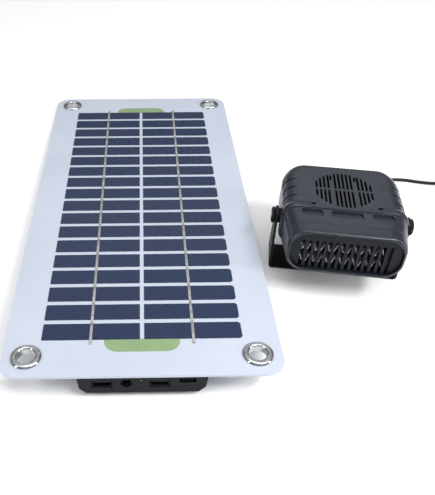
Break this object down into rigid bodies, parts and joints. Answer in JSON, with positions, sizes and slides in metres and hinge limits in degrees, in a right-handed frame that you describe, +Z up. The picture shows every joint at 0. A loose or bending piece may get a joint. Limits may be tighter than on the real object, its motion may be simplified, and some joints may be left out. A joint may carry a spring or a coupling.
{
  "type": "solar fan kit",
  "caption": "Flat solar panel with a power box under one end, and a 12 V blower head that tilts in a U bracket, its thin lead coiled beside it.",
  "frame": {"origin": "middle of the footprint of the panel and the fan, on the floor, leaving out the fan's lead", "axes": "+Y along the panel from its power box to its far end, +X from the panel to the fan, +Z up"},
  "size_m": [0.4481, 0.4294, 0.0692],
  "materials": {
    "laminate": "pale blue-white coated board, semi-gloss",
    "silicon": "dark blue cells with fine fingers under a clear coat",
    "green_print": "soft green print under the film",
    "chrome": "bright nickel plate on a rolled edge",
    "black_plastic": "moulded, fine matt texture",
    "slate_plastic": "moulded, satin slate",
    "black_steel": "satin black powder coat",
    "steel": "plain plated steel",
    "aluminium": "bare folded strip",
    "circuit_green": "green solder mask",
    "copper": "enamelled copper winding",
    "clear_lens": "clear diffusing lens",
    "rubber": "matt black rubber",
    "cord_jacket": "smooth black PVC jacket"
  },
  "bodies": {
    "base": {"panel_board": "laminate", "eyelet_near_left": "chrome", "eyelet_near_right": "chrome", "eyelet_far_left": "chrome", "eyelet_far_right": "chrome", "eyelet_washer_near_left": "chrome", "eyelet_washer_near_right": "chrome", "eyelet_washer_far_left": "chrome", "eyelet_washer_far_right": "chrome", "cell_string_left": "silicon", "cell_string_right": "silicon", "label_near": "green_print", "label_far": "green_print", "box_housing": "black_plastic", "box_lid": "black_plastic", "box_screw_left": "steel", "box_screw_right": "steel", "box_foot_near_left": "rubber", "box_foot_near_right": "rubber", "box_foot_far_left": "rubber", "box_foot_far_right": "rubber", "circuit_board": "circuit_green", "usb_port_left": "steel", "usb_port_right": "steel", "usb_c_port": "steel", "power_jack": "black_plastic", "charge_lamp": "clear_lens", "inductor": "copper", "capacitor": "black_plastic", "panel_lead": "rubber", "bracket": "black_steel", "cord_lead": "cord_jacket", "cord_coil": "cord_jacket", "cord_tail": "cord_jacket", "cord_tie": "rubber", "plug_body": "cord_jacket", "plug_barrel": "steel"},
    "head": {"top_shell": "slate_plastic", "bottom_shell": "slate_plastic", "front_cap": "slate_plastic", "outlet_grille": "slate_plastic", "heater_frame": "black_plastic", "ceramic_strip": "steel", "heater_fins_lower": "aluminium", "heater_fins_upper": "aluminium", "blower_scroll": "black_plastic", "motor": "steel", "pivot_washer_left": "rubber", "pivot_washer_right": "rubber", "pivot_nut_left": "steel", "pivot_nut_right": "steel", "shell_screw_left": "steel", "shell_screw_right": "steel", "switch_body": "black_plastic", "cord_gland": "rubber"},
    "impeller": {"impeller": "black_plastic", "motor_shaft": "steel"},
    "knob_left": {"knob_left": "black_plastic"},
    "knob_right": {"knob_right": "black_plastic"},
    "switch_rocker": {"switch_rocker": "black_plastic"}
  },
  "joints": [
    {"name": "head_tilt", "type": "hinge", "parent": "base", "child": "head", "pos_m": [0.10427, -0.076, 0.047], "axis": [-0.9863, 0.165, 0], "range_deg": [-43, 29], "deforming": ["cord_lead"]},
    {"name": "impeller_spin", "type": "hinge", "parent": "head", "child": "impeller", "pos_m": [0.10691, -0.06024, 0.04616], "axis": [0.0086, 0.0516, 0.9986], "continuous": true},
    {"name": "knob_left_turn", "type": "hinge", "parent": "head", "child": "knob_left", "pos_m": [0.05101, -0.06709, 0.047], "axis": [-0.9863, 0.165, 0], "range_deg": [0, 360]},
    {"name": "knob_right_turn", "type": "hinge", "parent": "head", "child": "knob_right", "pos_m": [0.15753, -0.08491, 0.047], "axis": [0.9863, -0.165, 0], "range_deg": [0, 360]},
    {"name": "switch_rock", "type": "hinge", "parent": "head", "child": "switch_rocker", "pos_m": [0.09059, -0.01836, 0.04534], "axis": [0.9863, -0.165, 0], "range_deg": [-8, 8]}
  ]
}
